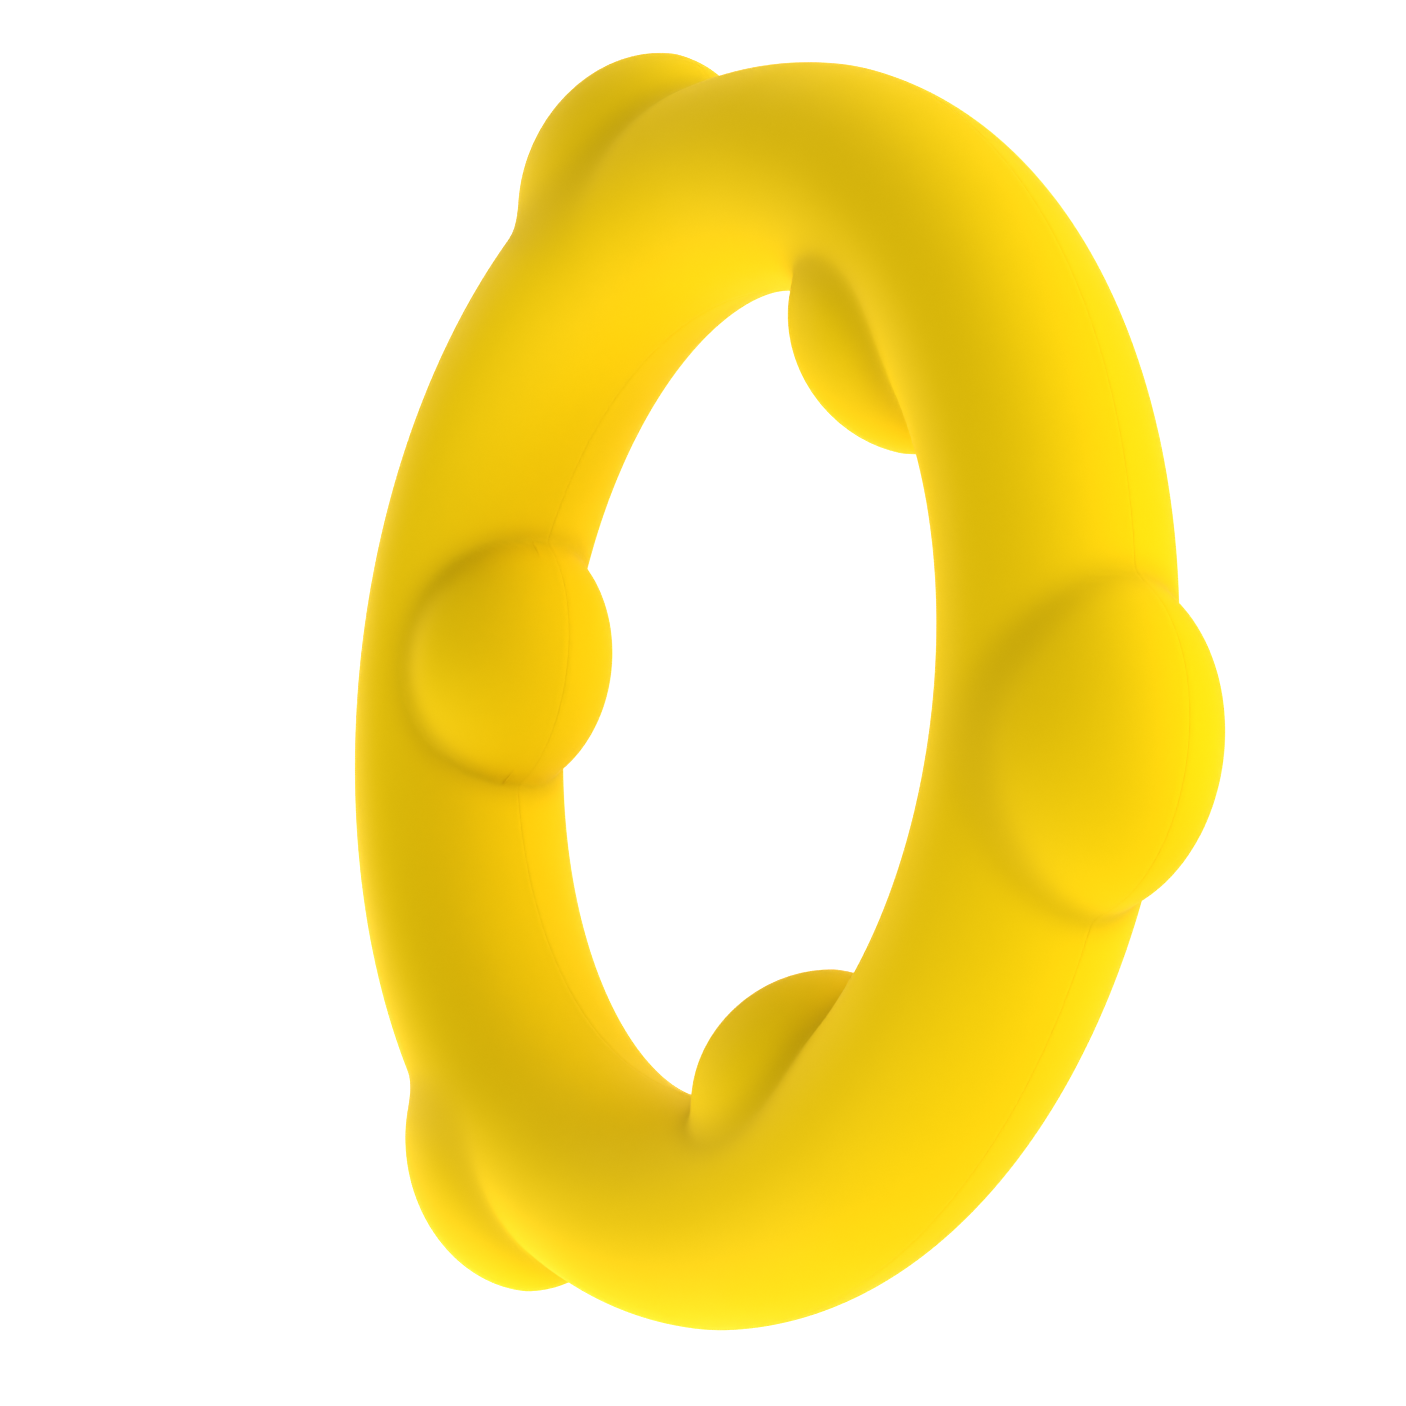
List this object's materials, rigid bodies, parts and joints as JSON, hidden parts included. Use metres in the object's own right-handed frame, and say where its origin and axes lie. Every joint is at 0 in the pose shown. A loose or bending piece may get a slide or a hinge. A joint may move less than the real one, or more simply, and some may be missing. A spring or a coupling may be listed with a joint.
{
  "type": "juggling ring",
  "caption": "Thick hollow throwing ring of round section with rounded nodules round its outside and its inside, moulded as two half shells joined along the mid-plane.",
  "frame": {"origin": "centre of the ring on its seam plane, which is also its centre of mass", "axes": "+Z along the ring's axis, towards the upper half; +X through the middle of an outer nodule"},
  "size_m": [0.1818, 0.174, 0.0302],
  "materials": {
    "yellow_rubber": "matt moulded soft rubber, self-coloured yellow"
  },
  "bodies": {
    "root": {"upper_half_shell": "yellow_rubber", "lower_half_shell": "yellow_rubber"}
  },
  "joints": []
}
